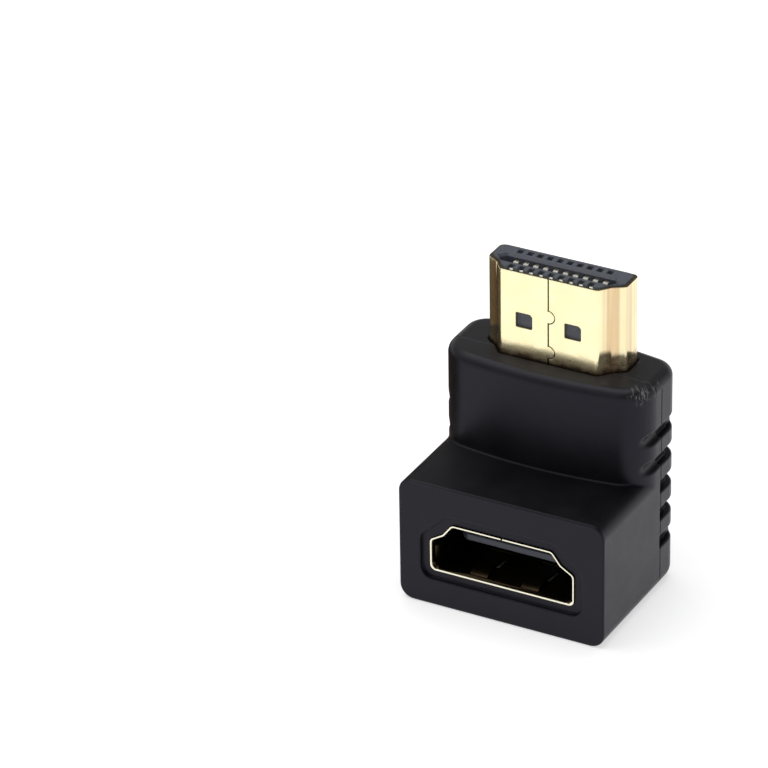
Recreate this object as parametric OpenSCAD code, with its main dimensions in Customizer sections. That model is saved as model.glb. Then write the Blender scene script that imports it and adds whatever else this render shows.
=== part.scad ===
// Right angle video adapter: a gold plug that points up and a port that faces forward, joined by
// a small circuit board and moulded into one black body. Millimetres, +Z up, port towards -Y.
// The origin is at the middle of the body's underside.

/* [Body] */
// Width of the moulded body
body_w = 20.8; // [19.8:0.05:24]
// Depth of the body from the port's face to the back of the slab
body_d = 16.4; // [16:0.1:20]
// Height of the low block that holds the port
block_h = 12.65; // [12:0.05:15]
// Height of the upright slab that holds the plug
slab_h = 22.2; // [21:0.05:26]
// Thickness of the slab at its middle
slab_t = 9.5; // [9.2:0.05:11]
// Radius of the slab's bowed front and back
bow_r = 47; // [40:1:90]
// Radius of the slab's two upright corners at the front
slab_front_r = 3.3; // [2:0.1:4]
// Radius of the slab's two upright corners at the back
slab_back_r = 2.2; // [1.4:0.1:3]
// Radius that rounds the slab's top edge
top_r = 1; // [0.3:0.1:1.6]
// Radius that rounds the block's long edges and the slab's lower edge
long_r = 1.4; // [0.5:0.1:1.6]
// Radius that rounds the edge of the port's face
face_r = 0.2; // [0.1:0.05:0.5]

/* [Grips] */
// Number of grip slots on each side
grip_count = 5; // [3:1:5]
// Height of the lowest slot's middle
grip_low = 5.1; // [3.5:0.1:5.5]
// Distance between slots
grip_pitch = 2.9; // [2.4:0.05:3.4]
// Height of one slot
grip_h = 1.25; // [0.8:0.05:1.6]
// Depth of a slot, square to the surface
grip_depth = 0.65; // [0.2:0.05:0.9]
// How far the middle slot reaches in across the back
grip_reach = 2.8; // [2:0.1:4]
// Radius of the arc on which the slots end
grip_bow_r = 8; // [7.5:0.5:20]
// Depth of the mould's parting plane behind the port's face
parting_d = 11.7; // [11:0.1:13.5]

/* [Oval on the back] */
// Width of the oval
oval_w = 8.4; // [6:0.1:10]
// Height of the oval
oval_h = 13.2; // [9:0.1:15]
// Height of the oval's middle
oval_z = 11; // [9.5:0.1:12]
// Depth of the oval, square to the surface
oval_depth = 0.15; // [0.05:0.05:0.4]

/* [Plug] */
// Width of the plug's metal shell
plug_w = 13.9; // [13.5:0.05:14.3]
// Thickness of the plug's metal shell
plug_h = 4.45; // [4.3:0.05:4.8]
// Straight stretch of the shell's short sides
side_len = 2.62; // [2.4:0.02:2.8]
// How far the ledge beside the straight stretch comes in
ledge_in = 1.2; // [1:0.05:1.4]
// How far the ledge rises towards the narrow face
ledge_rise = 0.72; // [0.5:0.02:0.9]
// How far the slope after the ledge comes in
slope_in = 0.85; // [0.6:0.05:1]
// Radius of the shell's outside corners
shell_corner_r = 0.55; // [0.4:0.05:0.7]
// Thickness of the sheet metal in both shells
sheet_t = 0.3; // [0.2:0.05:0.35]
// How far the shell stands out of the body
plug_reach = 8.55; // [8:0.05:10]
// How far the shell goes down into the body
plug_buried = 4.2; // [3.4:0.1:5]
// How far the plug's middle lies behind the slab's middle
plug_offset = 0.18; // [0:0.01:0.3]
// Gap left in the body round the foot of the plug
foot_gap = 0.15; // [0.1:0.05:0.5]
// Depth of that gap
foot_depth = 0.3; // [0.1:0.05:0.6]
// Width of a latch hole in the narrow face
latch_w = 1.65; // [1:0.05:2]
// Height of a latch hole
latch_h = 1.5; // [1:0.05:2]
// Distance of the latch holes from the middle
latch_x = 2.45; // [2:0.05:3]
// Distance of the latch holes' middles below the shell's mouth
latch_down = 4.8; // [4:0.05:6]
// Width of the seam where the sheet metal meets
seam_w = 0.08; // [0.05:0.01:0.15]
// Radius of the half-round tabs that lock the seam
tab_r = 0.65; // [0.3:0.05:0.7]
// Height of the lower seam tab above the body
tab_low = 1.1; // [1:0.1:1.8]
// Distance between the two seam tabs
tab_pitch = 3.6; // [3:0.1:4.5]

/* [Plug insulator] */
// How far the insulator stands out of the plug's shell
proud = 0.2; // [0:0.05:0.4]
// Distance from the narrow face to the middle of the slot
slot_from_narrow = 2.02; // [1.9:0.02:2.1]
// Width across the slot
slot_t = 1.16; // [1.14:0.02:1.3]
// Length of the slot at its mouth
slot_w = 12; // [11.8:0.1:12.2]
// Depth of the slot
slot_d = 6.6; // [5.5:0.1:7.2]
// Bevel round the slot's mouth
slot_bevel = 0.25; // [0.1:0.05:0.3]
// Height of the bar between the slot and each window
bar_h = 0.42; // [0.4:0.01:0.5]
// Thickness of that bar
bar_t = 0.25; // [0.15:0.05:0.3]
// Length of a window, square to the slot
window_l = 0.66; // [0.5:0.02:0.7]
// Height of the tail holder at the shell's lower end
holder_h = 1.5; // [1:0.1:2]

/* [Contacts] */
// Distance between neighbouring contacts of one row
pitch = 1; // [0.9:0.01:1]
// Width of a contact
contact_w = 0.45; // [0.3:0.01:0.5]
// Thickness of a contact
contact_t = 0.18; // [0.1:0.01:0.2]
// Room on each side of a plug contact in its channel
contact_play = 0.05; // [0.03:0.01:0.08]
// Distance of a plug contact's straight stretch from the slot's middle
beam_a = 1; // [0.95:0.01:1.1]
// Distance of a plug contact's crown from the slot's middle
crown_a = 0.36; // [0.3:0.01:0.45]
// Distance below the mouth at which a plug contact starts to lean into the slot
lean_down = 5.4; // [4.6:0.1:5.8]
// Distance of a plug contact's crown below the mouth
crown_down = 1; // [0.95:0.05:1.3]
// Distance of a plug contact's tip below the mouth
tip_down = 0.35; // [0.3:0.05:0.4]
// Length of a plug contact's tail on the board
tail_len = 2.6; // [1.5:0.1:3]
// Height of the drop of solder under each plug tail
solder_h = 0.5; // [0.2:0.1:0.8]

/* [Board] */
// Thickness of the circuit board
board_t = 1; // [0.8:0.1:1.1]
// Plastic of the inner moulding at each side of the board
board_cover = 0.275; // [0.1:0.025:0.6]
// Height of the board's lower edge above the ground
board_low = 2.6; // [2.4:0.1:3]
// Radius of a hole for a port contact's tail
hole_r = 0.32; // [0.3:0.01:0.35]

/* [Port] */
// Height of the port shell's underside above the ground
port_lift = 3.6; // [3.2:0.01:3.9]
// How far the port's rim lies behind the body's face
rim_in = 0.2; // [0:0.05:0.4]
// Play between a plug and the port's inside
port_play = 0.05; // [0.03:0.01:0.1]
// Width of the shallow recess round the rim
recess_w = 0.9; // [0.5:0.1:1.3]
// Depth of that recess
recess_d = 0.38; // [0.2:0.02:0.6]
// Radius of that recess's corners
recess_r = 1.2; // [0.6:0.1:1.6]
// Thickness of the tongue
tongue_t = 1.1; // [1:0.02:1.12]
// Width of the tongue
tongue_w = 11.5; // [11:0.1:11.6]
// Distance of the tongue's end behind the rim
tongue_in = 2.5; // [1.5:0.1:3]
// Distance of a tongue contact's end behind the tongue's end
contact_in = 0.6; // [0.3:0.1:1]
// Distance of the port's pins above and below the tongue's middle
pin_spread = 1.1; // [1:0.05:1.3]
// Bevel at the tongue's front corners
tongue_bevel = 1; // [0.5:0.1:1.2]
// Length of the port insulator's solid base
base_l = 2.6; // [2:0.1:3]
// Width of a spring finger of the port's shell
finger_w = 1.75; // [1:0.05:2]
// Length of a spring finger
finger_l = 4.8; // [3.5:0.1:5]
// How far a finger stands into the port
finger_rise = 0.4; // [0.1:0.05:0.5]
// Distance of the fingers from the middle
finger_x = 2.6; // [2.2:0.05:3]
// Width of the slit beside a finger
slit = 0.2; // [0.1:0.05:0.3]
// Distance of the fingers' tips behind the rim
finger_in = 0.5; // [0.3:0.1:1]
// Height of the legs that hold the port's shell to the board
leg_h = 1.6; // [1:0.1:2]
// How far pins and legs stand out behind the board
pin_out = 0.8; // [0.5:0.1:1]

/* [Inner moulding] */
// Wall of the black body round the inner moulding
wall = 1.7; // [1.2:0.1:1.8]
// Distance of the inner moulding behind the port's face
moulding_in = 3.2; // [2.5:0.1:4]
// Clearance between metal shells and the insulators in them
fit = 0.02; // [0:0.01:0.05]

/* [Hidden] */
contact_count = 19;

body_colour = [0.11, 0.11, 0.12];
moulding_colour = [0.85, 0.84, 0.8];
gold_colour = [0.93, 0.82, 0.52];
insulator_colour = [0.16, 0.17, 0.2];
board_colour = [0.1, 0.35, 0.2];
solder_colour = [0.75, 0.76, 0.78];

// Steps in a quarter of a small rounded corner, in half of a bowed face and in a whole oval
corner_steps = 5;
bow_steps = 8;
oval_steps = 48;
edge_steps = 4;
round_steps = 24;
groove_steps = 16;
// How far a cut runs past the face it opens
past = 1;

face_y = -body_d / 2;
back_y = body_d / 2;
slab_front_y = back_y - slab_t;
slab_y = back_y - slab_t / 2;
parting_y = face_y + parting_d;

plug_y = slab_y + plug_offset;
plug_wide_y = plug_y + plug_h / 2;
slot_y = plug_wide_y - plug_h + slot_from_narrow;
plug_top = slab_h + plug_reach;
plug_root = slab_h - plug_buried;
mouth_z = plug_top + proud;
holder_top = plug_root + holder_h;
slot_floor = mouth_z - slot_d;

board_w = body_w - 2 * (wall + board_cover);
board_front_y = slot_y - board_t / 2;
board_back_y = slot_y + board_t / 2;

rim_y = face_y + rim_in;
port_w = plug_w + 2 * port_play + 2 * sheet_t;
port_wide_z = port_lift + sheet_t + port_play;
tongue_z = port_wide_z + plug_h - slot_from_narrow;
tongue_y = rim_y + tongue_in;
base_y = board_front_y - base_l;
side_finger_z = port_wide_z + side_len / 2;
side_finger_w = side_len / 2;

// Contacts with an odd number lie on the wide side, those with an even number on the narrow side
function on_wide(i) = i % 2 == 1;
function contact_x(i) = (i - (contact_count + 1) / 2) * pitch / 2;

function unit(v) = v / norm(v);
function outward(p, q) = let (e = unit(q - p)) [e.y, -e.x];
function before(pts, i) = pts[(i + len(pts) - 1) % len(pts)];
function after(pts, i) = pts[(i + 1) % len(pts)];

// The outline moved outwards by d, with square corners. Points run anticlockwise.
function grown(pts, d) = [
    for (i = [0 : len(pts) - 1])
    let (a = outward(before(pts, i), pts[i]), b = outward(pts[i], after(pts, i)))
    pts[i] + (a + b) * d / (1 + a * b)
];

// The outline with each corner turned into an arc
function rounded(pts, r) = [
    for (i = [0 : len(pts) - 1])
    let (
        a = unit(before(pts, i) - pts[i]),
        b = unit(after(pts, i) - pts[i]),
        half = acos(a * b) / 2,
        middle = pts[i] + unit(a + b) * r / sin(half),
        start = pts[i] + a * r / tan(half) - middle,
        turn = (180 - 2 * half) * sign(cross(-a, b))
    )
    for (k = [0 : corner_steps])
    let (t = turn * k / corner_steps)
    middle + [start.x * cos(t) - start.y * sin(t), start.x * sin(t) + start.y * cos(t)]
];

// A strip of thickness t along an open path
function strip(path, t) = concat(
    [for (i = [0 : len(path) - 1]) path[i] + strip_offset(path, i, t / 2)],
    [for (i = [len(path) - 1 : -1 : 0]) path[i] + strip_offset(path, i, -t / 2)]
);
function strip_offset(path, i, d) =
    let (
        last = len(path) - 1,
        a = outward(path[max(i - 1, 0)], path[max(i, 1)]),
        b = outward(path[min(i, last - 1)], path[min(i + 1, last)])
    )
    (a + b) * d / (1 + a * b);

// The shell's outline: x across, y from the wide face to the narrow one
ledge_half = plug_w / 2 - ledge_in;
narrow_half = ledge_half - slope_in;
ledge_y = side_len + ledge_rise;
shell_points = [
    [-plug_w / 2, 0], [plug_w / 2, 0], [plug_w / 2, side_len], [ledge_half, ledge_y],
    [narrow_half, plug_h], [-narrow_half, plug_h], [-ledge_half, ledge_y], [-plug_w / 2, side_len]
];
function shell_outline(grow) = rounded(grown(shell_points, grow), shell_corner_r);
port_outer = port_play + sheet_t;

// The recess round the port's rim follows the shell but passes its ledges by
recess_points = [
    [-plug_w / 2, 0], [plug_w / 2, 0], [plug_w / 2, side_len],
    [narrow_half, plug_h], [-narrow_half, plug_h], [-plug_w / 2, side_len]
];

// Half of a bowed face and its corner: distance across, then distance from the slab's middle
function bowed_half(corner_r, inset) =
    let (
        r = corner_r - inset,
        big = bow_r - inset,
        half = body_w / 2 - inset - r,
        swing = asin(half / (big - r)),
        mid = slab_t / 2 - inset - big,
        low = mid + (big - r) * cos(swing)
    )
    concat(
        [for (k = [0 : bow_steps]) let (t = swing * k / bow_steps)
            [big * sin(t), mid + big * cos(t)]],
        [for (k = [1 : corner_steps]) let (t = swing + (90 - swing) * k / corner_steps)
            [half + r * sin(t), low + r * cos(t)]]
    );

// The slab's outline with bowed front and back, moved inwards by inset
function slab_outline(inset) =
    let (
        front = bowed_half(slab_front_r, inset),
        back = bowed_half(slab_back_r, inset),
        last = len(front) - 1
    )
    concat(
        [for (k = [0 : last]) [front[k].x, slab_y - front[k].y]],
        [for (k = [last : -1 : 0]) [back[k].x, slab_y + back[k].y]],
        [for (k = [1 : last]) [-back[k].x, slab_y + back[k].y]],
        [for (k = [last : -1 : 1]) [-front[k].x, slab_y - front[k].y]]
    );

// The block's outline as seen from the front, moved inwards by inset
function block_outline(inset) =
    let (x = body_w / 2 - inset, low = inset, high = block_h - inset)
    rounded([[-x, low], [x, low], [x, high], [-x, high]], long_r - inset);

// A rounded edge in steps: how far each step lies in from the side and from the end
function edge_side(r, k) = r * (1 - cos(90 * k / edge_steps));
function edge_end(r, k) = r * (1 - sin(90 * k / edge_steps));

module along_x(x, w) {
    translate([x - w / 2, 0, 0])
        rotate([90, 0, 90])
            linear_extrude(w)
                children();
}

module along_y(y0, y1) {
    translate([0, y1, 0])
        rotate([90, 0, 0])
            linear_extrude(y1 - y0)
                children();
}

// Places an outline drawn from wide face to narrow face in the plug
module in_plug(z0, z1) {
    translate([0, plug_wide_y, z0])
        linear_extrude(z1 - z0)
            mirror([0, 1])
                children();
}

// Places the same outline in the port
module in_port(y0, y1) {
    along_y(y0, y1)
        translate([0, port_wide_z])
            children();
}

module slab_body() {
    middle = slab_h / 2;
    hull()
        for (k = [0 : edge_steps]) {
            translate([0, 0, edge_end(long_r, k)])
                linear_extrude(middle - edge_end(long_r, k))
                    polygon(slab_outline(edge_side(long_r, k)));
            translate([0, 0, middle])
                linear_extrude(middle - edge_end(top_r, k))
                    polygon(slab_outline(edge_side(top_r, k)));
        }
}

module block_body() {
    hull()
        for (k = [0 : edge_steps])
            along_y(face_y + edge_end(face_r, k), slab_y)
                polygon(block_outline(edge_side(face_r, k)));
}

// A slot behind the parting plane: it follows the slab's skin round to the back
module back_slot(z, reach) {
    translate([0, 0, z - grip_h / 2])
        linear_extrude(grip_h)
            intersection() {
                difference() {
                    polygon(slab_outline(-past));
                    polygon(slab_outline(grip_depth));
                }
                for (side = [-1, 1])
                    scale([side, 1])
                        translate([body_w / 2 - reach, parting_y])
                            square([reach + past, back_y - parting_y + past]);
            }
}

// A slot before the parting plane: a straight half-round groove that runs out at the slab's corner
module front_slot(z) {
    for (side = [-1, 1])
        along_y(slab_front_y - past, parting_y)
            translate([side * body_w / 2, z])
                scale([2 * grip_depth / grip_h, 1])
                    circle(grip_h / 2, $fn = groove_steps);
}

module grip_slots() {
    middle = grip_low + 2 * grip_pitch;
    for (k = [0 : grip_count - 1]) {
        z = grip_low + k * grip_pitch;
        back_slot(z, grip_reach - pow(z - middle, 2) / (2 * grip_bow_r));
        if (z - grip_h / 2 > block_h)
            front_slot(z);
    }
}

// The shallow bare oval on the slab's back
module oval_panel() {
    intersection() {
        along_y(slab_y, back_y + past)
            polygon([
                for (k = [0 : oval_steps - 1])
                let (t = 360 * k / oval_steps)
                [oval_w / 2 * cos(t), oval_z + oval_h / 2 * sin(t)]
            ]);
        linear_extrude(slab_h)
            difference() {
                polygon(slab_outline(-past));
                polygon(slab_outline(oval_depth));
            }
    }
}

module box(low, high) {
    translate(low)
        cube(high - low);
}

// The space of the inner moulding: a lower part round the port and an upper part round the board
module moulding_blank() {
    half = body_w / 2 - wall;
    box([-half, face_y + moulding_in, wall], [half, back_y - wall, block_h - wall]);
    box([-half, slab_front_y + wall, block_h - wall - past], [half, back_y - wall, slab_h - wall]);
}

module plug_envelope() {
    in_plug(plug_root, plug_top)
        polygon(shell_outline(0));
}

module port_envelope() {
    in_port(rim_y, board_front_y)
        polygon(shell_outline(port_outer));
}

module outer_overmould() {
    color(body_colour)
        difference() {
            union() {
                slab_body();
                block_body();
            }
            moulding_blank();
            board_blank();
            port_legs(0);
            plug_envelope();
            in_plug(slab_h - foot_depth, slab_h + past)
                polygon(shell_outline(foot_gap));
            port_envelope();
            in_port(face_y - past, face_y + recess_d)
                polygon(rounded(grown(recess_points, port_outer + recess_w), recess_r));
            grip_slots();
            oval_panel();
        }
}

module inner_moulding() {
    color(moulding_colour)
        difference() {
            moulding_blank();
            board_blank();
            plug_envelope();
            port_envelope();
            port_legs(0);
            plug_solder();
            port_solder();
            for (i = [1 : contact_count]) {
                plug_contact(i);
                port_contact(i);
            }
        }
}

// The seam runs straight up the narrow face and round two half-round tabs
module seam() {
    mid = plug_wide_y - plug_h + sheet_t / 2;
    tabs = [slab_h + tab_low, slab_h + tab_low + tab_pitch];
    along_y(mid - sheet_t, mid + sheet_t)
        difference() {
            union() {
                translate([-seam_w / 2, plug_root - past])
                    square([seam_w, plug_top - plug_root + 2 * past]);
                for (z = tabs)
                    translate([0, z])
                        circle(tab_r + seam_w / 2, $fn = oval_steps);
            }
            for (z = tabs)
                translate([-tab_r - seam_w, z - tab_r + seam_w / 2])
                    square([tab_r + seam_w / 2, 2 * tab_r - seam_w]);
            for (z = tabs)
                intersection() {
                    translate([0, z])
                        circle(tab_r - seam_w / 2, $fn = oval_steps);
                    translate([-seam_w, z - tab_r])
                        square([tab_r + seam_w, 2 * tab_r]);
                }
            for (z = tabs)
                translate([-tab_r - past, z - tab_r - seam_w])
                    square([tab_r + past - seam_w / 2, 2 * tab_r + 2 * seam_w]);
        }
}

module plug_shell() {
    narrow_y = plug_wide_y - plug_h;
    color(gold_colour)
        difference() {
            plug_envelope();
            in_plug(plug_root - past, plug_top + past)
                polygon(shell_outline(-sheet_t));
            seam();
            for (side = [-1, 1])
                translate([side * latch_x, narrow_y, plug_top - latch_down])
                    cube([latch_w, 2 * (sheet_t + fit), latch_h], center = true);
        }
}

// Side to which a contact of the plug lies from the slot's middle
function row_side(i) = on_wide(i) ? 1 : -1;

// A plug contact's bends: the step below the holder, the flank before the crown, then the hook
tail_bend = 0.1;
tail_slant = 0.6;
flank_l = 0.5;
flank_rise = 0.14;
hook_l = 0.28;
hook_rise = 0.08;
lip_l = 0.1;
lip_out = 0.25;
tip_out = 0.36;

// A plug contact's centre line: distance from the slot's middle, then height
tail_a = board_t / 2 + contact_t / 2;
tail_z = plug_root - tail_len;
crown_z = mouth_z - crown_down;
contact_path = [
    [tail_a, tail_z],
    [tail_a, plug_root - tail_bend - tail_slant],
    [beam_a, plug_root - tail_bend],
    [beam_a, mouth_z - lean_down],
    [crown_a + flank_rise, crown_z - flank_l],
    [crown_a, crown_z],
    [crown_a + hook_rise, crown_z + hook_l],
    [beam_a + lip_out, crown_z + hook_l + lip_l],
    [beam_a + tip_out, mouth_z - tip_down]
];

module plug_contact(i) {
    color(gold_colour)
        along_x(contact_x(i), contact_w)
            polygon([for (p = strip(contact_path, contact_t)) [slot_y + row_side(i) * p.x, p.y]]);
}

// A box in the plug given by its distances from the slot's middle towards a contact's row
module row_box(i, w, a0, a1, z0, z1) {
    near = min(row_side(i) * a0, row_side(i) * a1);
    far = max(row_side(i) * a0, row_side(i) * a1);
    x = contact_x(i);
    box([x - w / 2, slot_y + near, z0], [x + w / 2, slot_y + far, z1]);
}

module slot_shape(half_t, half_w, z0, z1) {
    translate([0, slot_y, z0])
        linear_extrude(z1 - z0)
            polygon([
                [-half_w, 0], [-half_w + half_t, -half_t], [half_w - half_t, -half_t],
                [half_w, 0], [half_w - half_t, half_t], [-half_w + half_t, half_t]
            ]);
}

// The slot's mouth, widened in steps that make its bevel
module slot_mouth() {
    steps = 3;
    for (k = [1 : steps])
        slot_shape(
            slot_t / 2 + slot_bevel * k / steps,
            slot_w / 2 + slot_bevel * k / steps,
            mouth_z - slot_bevel * (steps + 1 - k) / steps,
            mouth_z + past
        );
}

// Where the windows and channels lie, as distances from the slot's middle
window_a = slot_t / 2 + slot_bevel + bar_t;
window_end = window_a + window_l;
channel_play = 0.1;
channel_end = beam_a + contact_t / 2 + channel_play;

module contact_slit(i, z0, z1) {
    row_box(i, contact_w, beam_a - contact_t / 2, beam_a + contact_t / 2, z0, z1);
}

module plug_insulator() {
    lane = contact_w + 2 * contact_play;
    bar_low = mouth_z - 2 * bar_h;
    bar_high = mouth_z - bar_h;
    color(insulator_colour)
        difference() {
            in_plug(holder_top, mouth_z)
                polygon(shell_outline(-sheet_t - fit));
            slot_shape(slot_t / 2, slot_w / 2, slot_floor, mouth_z + past);
            slot_mouth();
            for (i = [1 : contact_count]) {
                row_box(i, lane, 0, channel_end, slot_floor, bar_high);
                row_box(i, lane, channel_end - contact_t, window_end, bar_low, bar_high);
                row_box(i, lane, window_a, window_end, bar_low, mouth_z + past);
                contact_slit(i, holder_top - past, slot_floor + past);
            }
        }
}

module plug_tail_holder() {
    color(insulator_colour)
        difference() {
            in_plug(plug_root, holder_top)
                polygon(shell_outline(-sheet_t - fit));
            for (i = [1 : contact_count])
                contact_slit(i, plug_root - past, holder_top + past);
        }
}

// A small wedge of solder under the end of each tail, against the board
module plug_solder() {
    color(solder_colour)
        for (i = [1 : contact_count])
            along_x(contact_x(i), contact_w)
                polygon([
                    [slot_y + row_side(i) * board_t / 2, tail_z],
                    [slot_y + row_side(i) * board_t / 2, tail_z - solder_h],
                    [slot_y + row_side(i) * (board_t / 2 + contact_t), tail_z]
                ]);
}

module board_blank() {
    box([-board_w / 2, board_front_y, board_low], [board_w / 2, board_back_y, plug_root]);
}

// Height of a port contact's straight stretch and of its tail
function tongue_side(i) = on_wide(i) ? -1 : 1;
function tongue_contact_z(i) = tongue_z + tongue_side(i) * (tongue_t / 2 - contact_t / 2);
function pin_z(i) = tongue_z + tongue_side(i) * pin_spread;

module link_board() {
    color(board_colour)
        difference() {
            board_blank();
            port_legs(fit);
            for (i = [1 : contact_count])
                translate([contact_x(i), board_front_y - past, pin_z(i)])
                    rotate([-90, 0, 0])
                        cylinder(r = hole_r, h = board_t + 2 * past, $fn = round_steps);
        }
}

// Where a port contact bends from the tongue to its pin, measured from the base's front
pin_bend = 0.5;
pin_slant = 0.7;

module port_contact(i) {
    color(gold_colour)
        along_x(contact_x(i), contact_w)
            polygon(strip([
                [tongue_y + contact_in, tongue_contact_z(i)],
                [base_y + pin_bend, tongue_contact_z(i)],
                [base_y + pin_bend + pin_slant, pin_z(i)],
                [board_back_y + pin_out, pin_z(i)]
            ], contact_t));
}

module port_insulator() {
    half = tongue_w / 2;
    color(insulator_colour)
        difference() {
            union() {
                in_port(base_y, board_front_y)
                    polygon(shell_outline(port_play - fit));
                translate([0, 0, tongue_z - tongue_t / 2])
                    linear_extrude(tongue_t)
                        polygon([
                            [-half, base_y + past], [-half, tongue_y + tongue_bevel],
                            [-half + tongue_bevel, tongue_y], [half - tongue_bevel, tongue_y],
                            [half, tongue_y + tongue_bevel], [half, base_y + past]
                        ]);
            }
            for (i = [1 : contact_count])
                port_contact(i);
        }
}

// A drop of solder round each pin on the board's back, wide at the board and narrow at the pin
solder_wide = 0.1;
solder_narrow = 0.04;

module port_solder() {
    wide_r = hole_r + solder_wide;
    narrow_r = contact_w / 2 + solder_narrow;
    color(solder_colour)
        difference() {
            for (i = [1 : contact_count])
                translate([contact_x(i), board_back_y, pin_z(i)])
                    rotate([-90, 0, 0])
                        cylinder(r1 = wide_r, r2 = narrow_r, h = pin_out / 2, $fn = round_steps);
            for (i = [1 : contact_count])
                port_contact(i);
        }
}

// The two legs of the port's shell, which go through the board
module port_legs(grow) {
    x = (port_w - sheet_t) / 2;
    for (side = [-1, 1])
        translate([side * x - sheet_t / 2 - grow, board_front_y, side_finger_z - leg_h / 2 - grow])
            cube([sheet_t + 2 * grow, board_t + pin_out, leg_h + 2 * grow]);
}

// A finger's crest and lip, measured back from its tip and down from its crest
crest_l = 1.2;
crest_flat = 0.8;
crest_drop = 0.05;
nose_l = 0.5;
nose_drop = 0.15;
tip_drop = 0.4;
finger_relief = 0.06;

// A finger's centre line: distance behind the rim, then distance into the port from the sheet
crest = finger_rise + crest_drop;
finger_path = [
    [finger_in + finger_l, 0],
    [finger_in + crest_l + crest_flat, finger_rise],
    [finger_in + crest_l, crest],
    [finger_in + nose_l, crest - nose_drop],
    [finger_in, crest - tip_drop]
];

// One finger that stands up from the plane z = 0, with the rim at y = 0
module finger(w) {
    along_x(0, w)
        polygon(strip(finger_path, sheet_t - finger_relief));
}

module finger_window(w) {
    translate([-w / 2 - slit, finger_in - slit, -sheet_t])
        cube([w + 2 * slit, finger_l + slit, 2 * sheet_t]);
}

// Puts a finger, or its window, at each of its six places in the port's shell
module at_fingers() {
    mid = port_play + sheet_t / 2;
    for (side = [-1, 1]) {
        translate([side * finger_x, rim_y, port_wide_z - mid])
            children(0);
        translate([side * finger_x, rim_y, port_wide_z + plug_h + mid])
            rotate([0, 180, 0])
                children(0);
        translate([side * (plug_w / 2 + mid), rim_y, side_finger_z])
            rotate([0, -90 * side, 0])
                children(1);
    }
}

module port_shell() {
    color(gold_colour) {
        difference() {
            port_envelope();
            in_port(rim_y - past, board_front_y + past)
                polygon(shell_outline(port_play));
            at_fingers() {
                finger_window(finger_w);
                finger_window(side_finger_w);
            }
            box(
                [-seam_w, rim_y - past, port_wide_z + plug_h],
                [seam_w, board_front_y + past, port_wide_z + plug_h + past]
            );
        }
        at_fingers() {
            finger(finger_w);
            finger(side_finger_w);
        }
        port_legs(0);
    }
}

outer_overmould();
inner_moulding();
plug_shell();
plug_insulator();
plug_tail_holder();
plug_solder();
link_board();
port_shell();
port_insulator();
port_solder();
for (i = [1 : contact_count]) {
    plug_contact(i);
    port_contact(i);
}
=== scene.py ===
import math

import bmesh
import bpy
import numpy as np
from mathutils import Matrix, Vector


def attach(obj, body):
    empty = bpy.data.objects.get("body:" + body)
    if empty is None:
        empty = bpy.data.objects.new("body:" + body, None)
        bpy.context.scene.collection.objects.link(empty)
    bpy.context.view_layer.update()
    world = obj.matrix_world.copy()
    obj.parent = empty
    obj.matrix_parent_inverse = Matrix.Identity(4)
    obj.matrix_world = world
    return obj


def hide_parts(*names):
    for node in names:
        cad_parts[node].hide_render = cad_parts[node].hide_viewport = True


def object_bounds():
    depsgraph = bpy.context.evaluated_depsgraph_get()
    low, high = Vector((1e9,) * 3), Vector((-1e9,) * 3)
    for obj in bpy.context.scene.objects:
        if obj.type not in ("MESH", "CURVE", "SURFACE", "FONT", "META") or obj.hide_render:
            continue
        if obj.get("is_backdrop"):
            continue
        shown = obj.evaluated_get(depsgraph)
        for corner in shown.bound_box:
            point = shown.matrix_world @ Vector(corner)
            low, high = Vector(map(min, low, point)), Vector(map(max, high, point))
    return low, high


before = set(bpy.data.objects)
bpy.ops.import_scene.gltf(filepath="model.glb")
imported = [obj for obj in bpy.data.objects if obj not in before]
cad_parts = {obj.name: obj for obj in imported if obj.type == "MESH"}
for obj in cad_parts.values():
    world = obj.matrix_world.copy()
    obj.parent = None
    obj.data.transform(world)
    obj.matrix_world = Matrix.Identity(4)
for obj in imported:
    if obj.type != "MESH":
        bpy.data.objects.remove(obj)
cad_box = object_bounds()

# Lengths are in millimetres up to the moment when a mesh is made. The sizes repeat part.scad's.
MM = 0.001

BODY_W, BODY_D = 20.8, 16.4
BLOCK_H, SLAB_H, SLAB_T, BOW_R = 12.65, 22.2, 9.5, 47
SLAB_FRONT_R, SLAB_BACK_R, TOP_R, LONG_R, FACE_R = 3.3, 2.2, 1, 1.4, 0.2
FACE_Y, BACK_Y = -BODY_D / 2, BODY_D / 2
SLAB_FRONT_Y = BACK_Y - SLAB_T
SLAB_Y = BACK_Y - SLAB_T / 2
PARTING_Y = 3.5

GRIP_COUNT, GRIP_LOW, GRIP_PITCH, GRIP_H, GRIP_DEPTH = 5, 5.1, 2.9, 1.25, 0.65
GRIP_REACH, GRIP_BOW_R = 2.8, 8

OVAL_W, OVAL_H, OVAL_Z, OVAL_DEPTH = 8.4, 13.2, 11, 0.15

PLUG_W, PLUG_H, SIDE_LEN = 13.9, 4.45, 2.62
LEDGE_IN, LEDGE_RISE, SLOPE_IN = 1.2, 0.72, 0.85
SHELL_CORNER_R, SHEET_T = 0.55, 0.3
PLUG_WIDE_Y = 5.855
PLUG_NARROW_Y = PLUG_WIDE_Y - PLUG_H
PLUG_ROOT, PLUG_TOP = 18, 30.75
FOOT_GAP, FOOT_DEPTH = 0.15, 0.3
LATCH_W, LATCH_H, LATCH_X, LATCH_DOWN = 1.65, 1.5, 2.45, 4.8
SEAM_W, TAB_R, TAB_LOW, TAB_PITCH = 0.12, 0.65, 1.1, 3.6

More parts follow.
